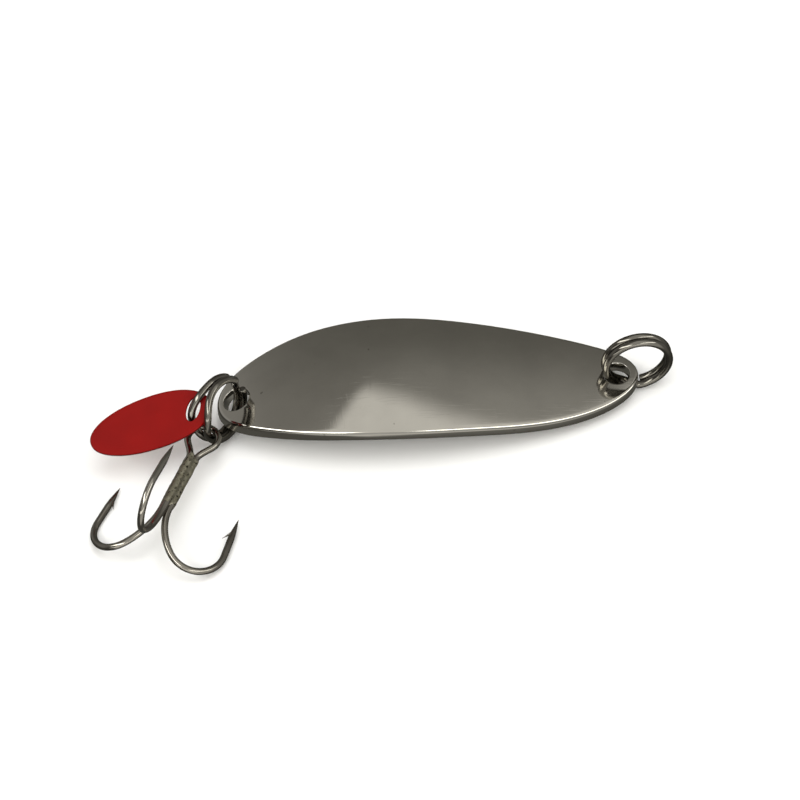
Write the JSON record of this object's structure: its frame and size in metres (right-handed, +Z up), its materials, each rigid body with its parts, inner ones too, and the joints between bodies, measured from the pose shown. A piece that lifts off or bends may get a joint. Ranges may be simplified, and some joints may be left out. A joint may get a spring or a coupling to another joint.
{
  "type": "spoon lure",
  "caption": "Humped metal spoon blade with a split ring at each tip, a small red tab and a treble hook on the rear ring.",
  "frame": {"origin": "on the table, under the middle of the lure's bounding box", "axes": "+X along the blade from the hook end to the line end, +Z up from the table the lure lies on, +Y to the blade's left seen from above, away from the treble hook"},
  "size_m": [0.0698, 0.0322, 0.013],
  "materials": {
    "blade": "polished",
    "ring": "polished",
    "tab": "gloss",
    "hook": "polished",
    "braze": "rough"
  },
  "bodies": {
    "blade": {"blade": "blade"},
    "front_ring": {"front_split_ring": "ring"},
    "rear_ring": {"rear_split_ring": "ring"},
    "tab": {"red_tab": "tab"},
    "treble": {"treble_double_hook": "hook", "treble_single_hook": "hook", "treble_braze": "braze"}
  },
  "joints": [
    {"name": "front_ring_swing", "type": "hinge", "parent": "blade", "child": "front_ring", "pos_m": [0.02822, 0.00718, 0.00212], "axis": [0, 0, 1], "range_deg": [-70, 65]},
    {"name": "rear_ring_swing", "type": "hinge", "parent": "blade", "child": "rear_ring", "pos_m": [-0.01663, 0.00718, 0.00324], "axis": [-0.3651, 0, 0.931], "range_deg": [-80, 15]},
    {"name": "tab_swing", "type": "hinge", "parent": "rear_ring", "child": "tab", "pos_m": [-0.02218, 0.00385, 0.00628], "axis": [-0.181, -0.5052, -0.8438], "range_deg": [-45, 10]},
    {"name": "treble_swing", "type": "hinge", "parent": "rear_ring", "child": "treble", "pos_m": [-0.02124, 0.00239, 0.00443], "axis": [0.2263, -0.0812, -0.9707], "range_deg": [-50, 50]}
  ]
}
